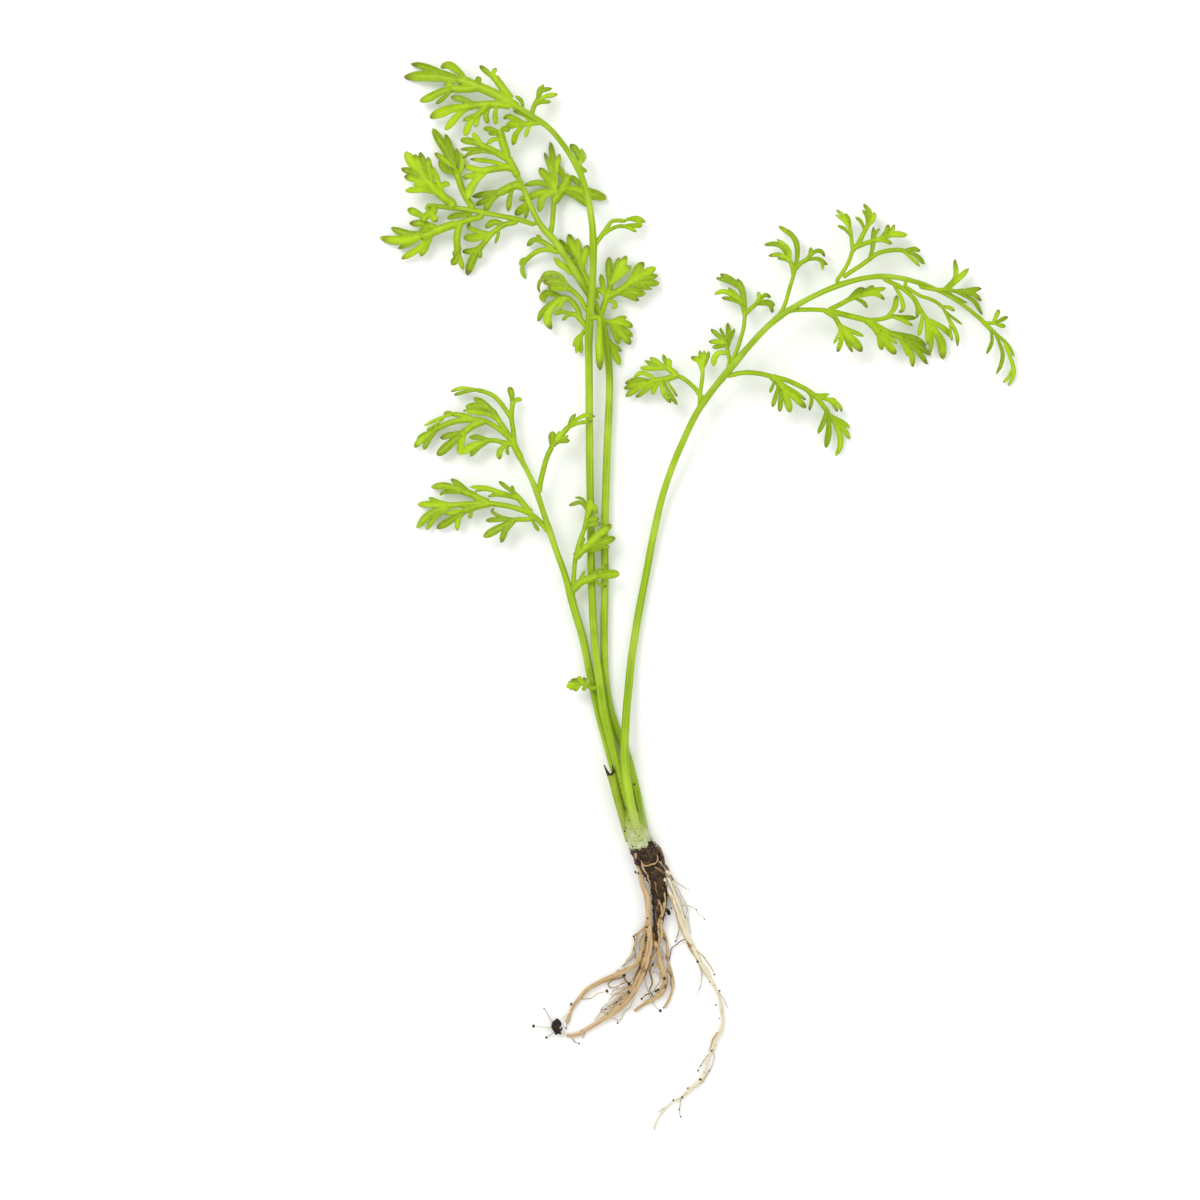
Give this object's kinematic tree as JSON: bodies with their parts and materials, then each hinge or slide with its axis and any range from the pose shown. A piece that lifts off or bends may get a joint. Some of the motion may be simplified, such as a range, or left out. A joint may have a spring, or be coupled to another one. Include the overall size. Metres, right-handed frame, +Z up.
{
  "type": "water sprite plant",
  "caption": "Bare-rooted aquatic fern lying flat: finely divided leaves on long round stalks, short rhizome, trailing roots and a crumb of soil.",
  "frame": {"origin": "on the small flat underside of the rhizome, where the root stock rests on the surface", "axes": "+Y along the stalks from the roots towards the leaf tips, +X to the right seen from above, +Z up from the surface"},
  "size_m": [0.1588, 0.2668, 0.0109],
  "materials": {
    "frond": "living leaf, satin, bright yellow-green with darker margins and tips",
    "stalk": "living stalk, smooth satin, pale yellow-green",
    "rhizome": "knobbly dark brown root stock, matte",
    "root": "thin straw-coloured roots, matte",
    "soil": "damp dark soil crumb, matte"
  },
  "bodies": {
    "root": {"left_stalk": "stalk", "right_stalk": "stalk", "tall_stalk": "stalk", "middle_stalk": "stalk", "branch_stalk": "stalk", "old_stalk": "stalk", "right_leaflet_2": "frond", "right_leaflet_3": "frond", "right_leaflet_4": "frond", "right_leaflet_5": "frond", "right_leaflet_6": "frond", "right_leaflet_8": "frond", "right_leaflet_9": "frond", "right_leaflet_10": "frond", "right_leaflet_11": "frond", "right_end_leaf": "frond", "right_leaflet_14": "frond", "left_end_leaf": "frond", "left_leaflet_5": "frond", "left_leaflet_6": "frond", "left_leaflet_9": "frond", "tall_leaflet_1": "frond", "tall_leaflet_2": "frond", "tall_leaflet_3": "frond", "tall_leaflet_4": "frond", "tall_leaflet_5": "frond", "tall_end_leaf": "frond", "tall_leaflet_9": "frond", "tall_leaflet_10": "frond", "tall_leaflet_11": "frond", "tall_leaflet_12": "frond", "middle_leaflet_1": "frond", "middle_leaflet_2": "frond", "middle_leaflet_3": "frond", "middle_leaflet_5": "frond", "middle_leaflet_6": "frond", "middle_leaflet_7": "frond", "middle_leaflet_8": "frond", "middle_leaflet_9": "frond", "middle_leaflet_10": "frond", "middle_end_leaf": "frond", "branch_leaflet_1": "frond", "branch_leaflet_2": "frond", "branch_leaflet_3": "frond", "branch_leaflet_4": "frond", "branch_leaflet_5": "frond", "branch_leaflet_6": "frond", "young_leaf": "frond", "rhizome": "rhizome", "soil_clump": "soil", "thick_root": "root", "upper_root": "root", "middle_root": "root", "side_root": "root", "long_root": "root", "fine_root": "root"}
  },
  "joints": []
}
